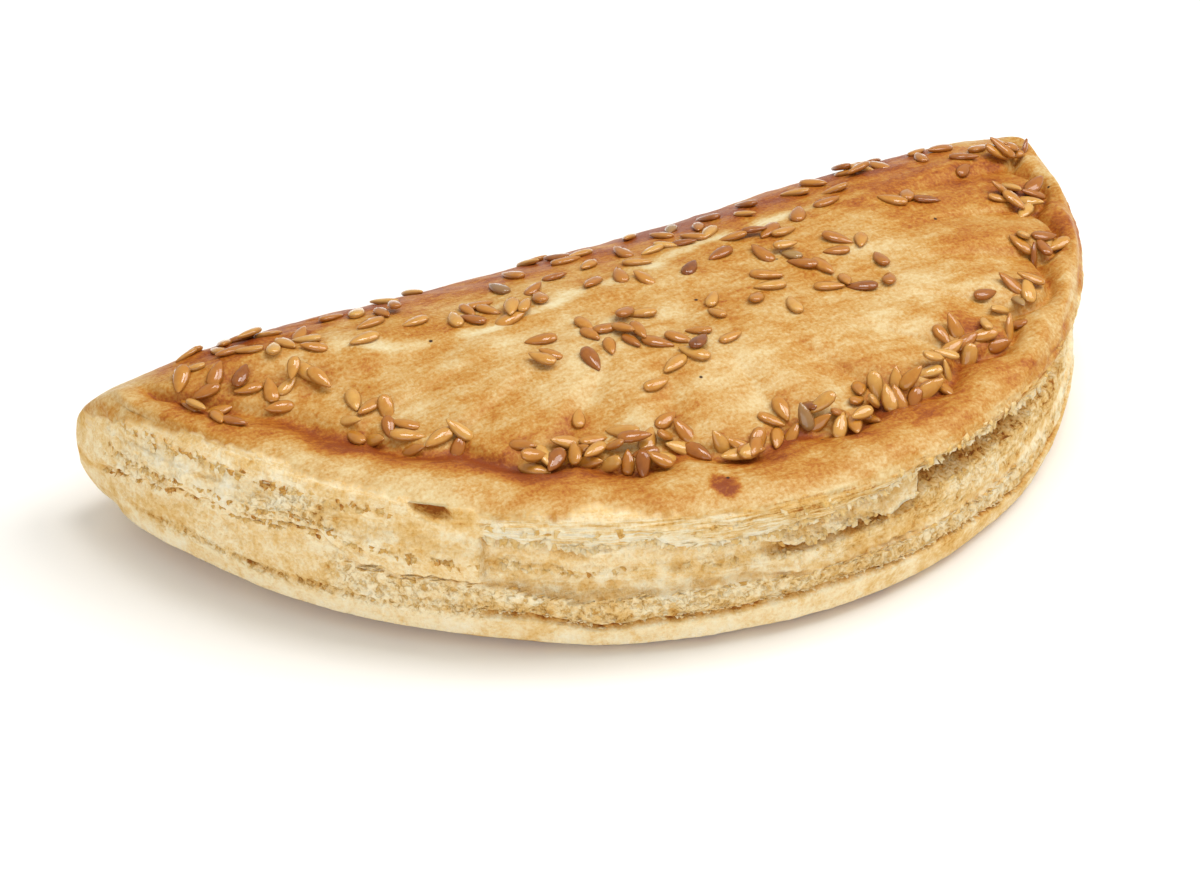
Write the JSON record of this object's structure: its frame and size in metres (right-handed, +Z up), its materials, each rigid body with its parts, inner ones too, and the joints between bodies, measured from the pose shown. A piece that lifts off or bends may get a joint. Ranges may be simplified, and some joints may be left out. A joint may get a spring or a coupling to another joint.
{
  "type": "empanada",
  "caption": "Half-moon puff-pastry empanada with a rolled fold, a pressed crease along the rim, flaky torn layers on the curved edge and golden flax seeds baked on top.",
  "frame": {"origin": "on the table, under the middle of the pastry's bounding box", "axes": "+X along the fold from the left tip to the right tip, +Y from the curved cut edge to the fold, +Z up"},
  "size_m": [0.18, 0.094, 0.0331],
  "materials": {
    "crust": "satin",
    "flax": "gloss"
  },
  "bodies": {
    "root": {"empanada": "crust"}
  },
  "joints": []
}
